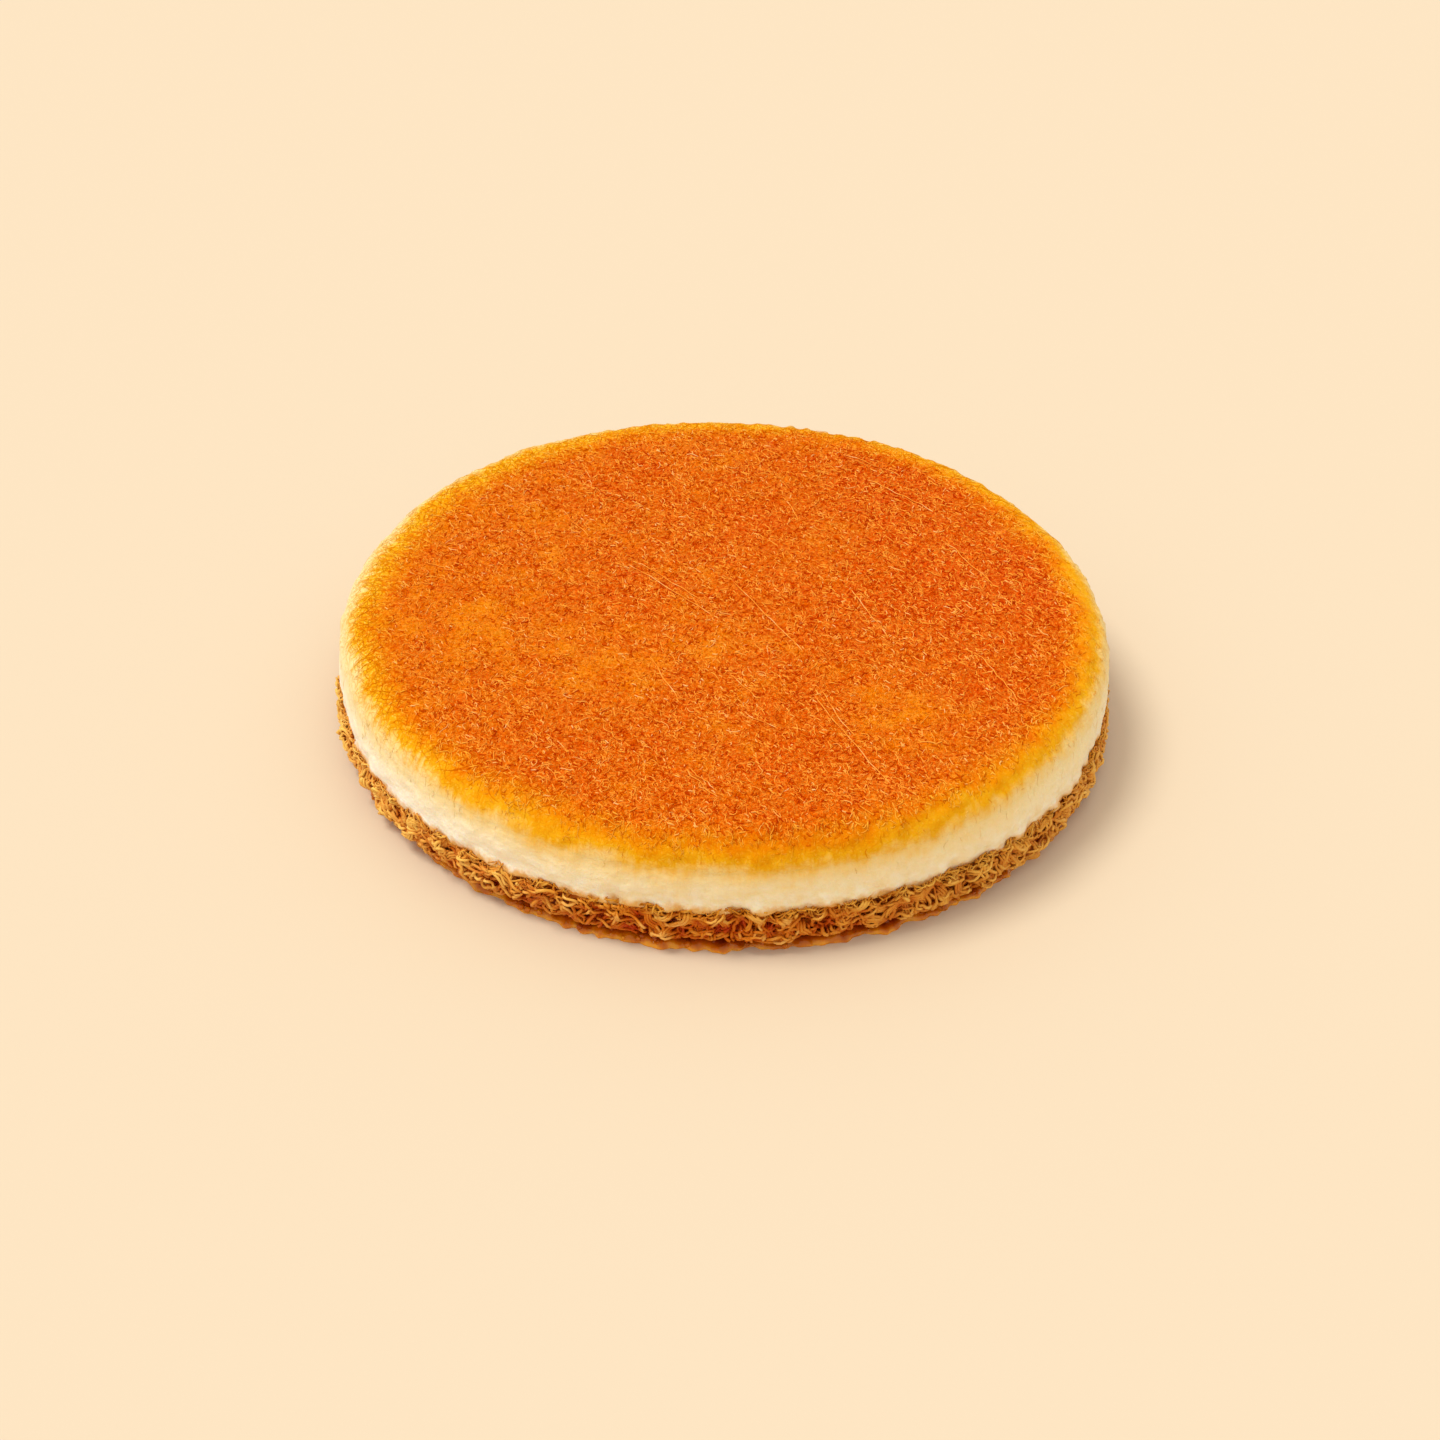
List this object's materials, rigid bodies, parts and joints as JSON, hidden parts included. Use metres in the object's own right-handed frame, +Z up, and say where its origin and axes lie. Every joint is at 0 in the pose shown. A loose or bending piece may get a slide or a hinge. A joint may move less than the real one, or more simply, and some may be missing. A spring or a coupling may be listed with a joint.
{
  "type": "kunafa",
  "caption": "Round cheese-filled kunafa: an orange shredded pastry face with a rounded edge, a pale cheese layer and a browned, matted shredded pastry base.",
  "frame": {"origin": "middle of the underside, on the surface that the kunafa lies on", "axes": "+Z up through the three layers, +X along the slightly longer way across, -Y towards the side seen in the picture"},
  "size_m": [0.2047, 0.195, 0.0347],
  "materials": {
    "browned_pastry": "golden-brown shredded pastry, wet with syrup",
    "cheese": "soft cream-coloured cheese, satin and slightly translucent",
    "orange_pastry": "orange shredded pastry glazed with syrup"
  },
  "bodies": {
    "root": {"kataifi_base": "browned_pastry", "cheese_layer": "cheese", "kataifi_top": "orange_pastry"}
  },
  "joints": []
}
